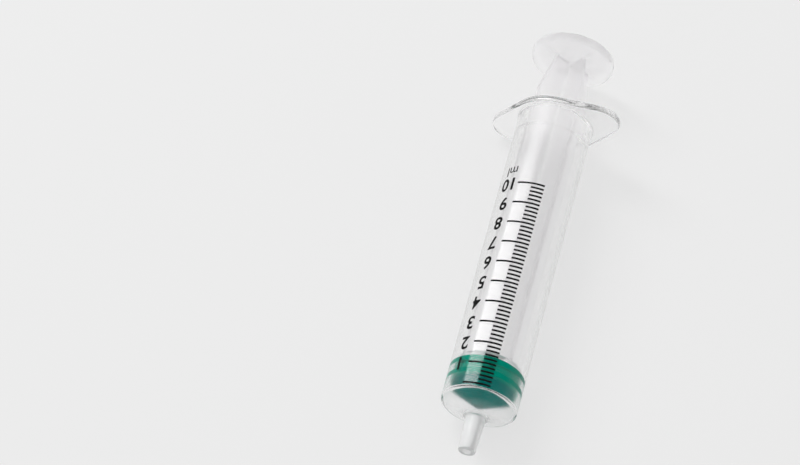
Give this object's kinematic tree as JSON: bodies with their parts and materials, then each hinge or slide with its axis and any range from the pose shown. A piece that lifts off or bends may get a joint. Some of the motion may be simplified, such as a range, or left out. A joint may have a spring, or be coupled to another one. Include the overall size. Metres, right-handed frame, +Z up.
{
  "type": "luer slip syringe",
  "caption": "Disposable syringe lying on its flange: clear graduated barrel with a tapered slip nozzle and winged finger flange, green rubber stopper, ribbed plunger with a thumb rest.",
  "frame": {"origin": "middle of the footprint, on the table that the syringe lies on", "axes": "+Z up, +X from the nozzle towards the thumb rest; the syringe's own axis lies over the X axis and rises towards the thumb rest by 1.17 degrees, because the flange is wider than the end wall's rim"},
  "size_m": [0.1078, 0.0296, 0.0204],
  "materials": {
    "clear_plastic": "clear, glossy",
    "green_rubber": "smooth, satin",
    "milky_plastic": "milky, satin",
    "black_ink": "matt ink"
  },
  "bodies": {
    "barrel": {"barrel": "clear_plastic", "scale_print": "black_ink"},
    "stopper": {"stopper": "green_rubber"},
    "plunger_rod": {"plunger_rod": "milky_plastic"}
  },
  "joints": [
    {"name": "plunger_slide", "type": "slide", "parent": "barrel", "child": "stopper", "axis": [0.9998, 0, 0.0205], "range_m": [-0.00187, 0.06139]},
    {"name": "plunger_twist", "type": "hinge", "parent": "stopper", "child": "plunger_rod", "pos_m": [-0.03352, 0, 0.00882], "axis": [0.9998, 0, 0.0205], "continuous": true}
  ]
}
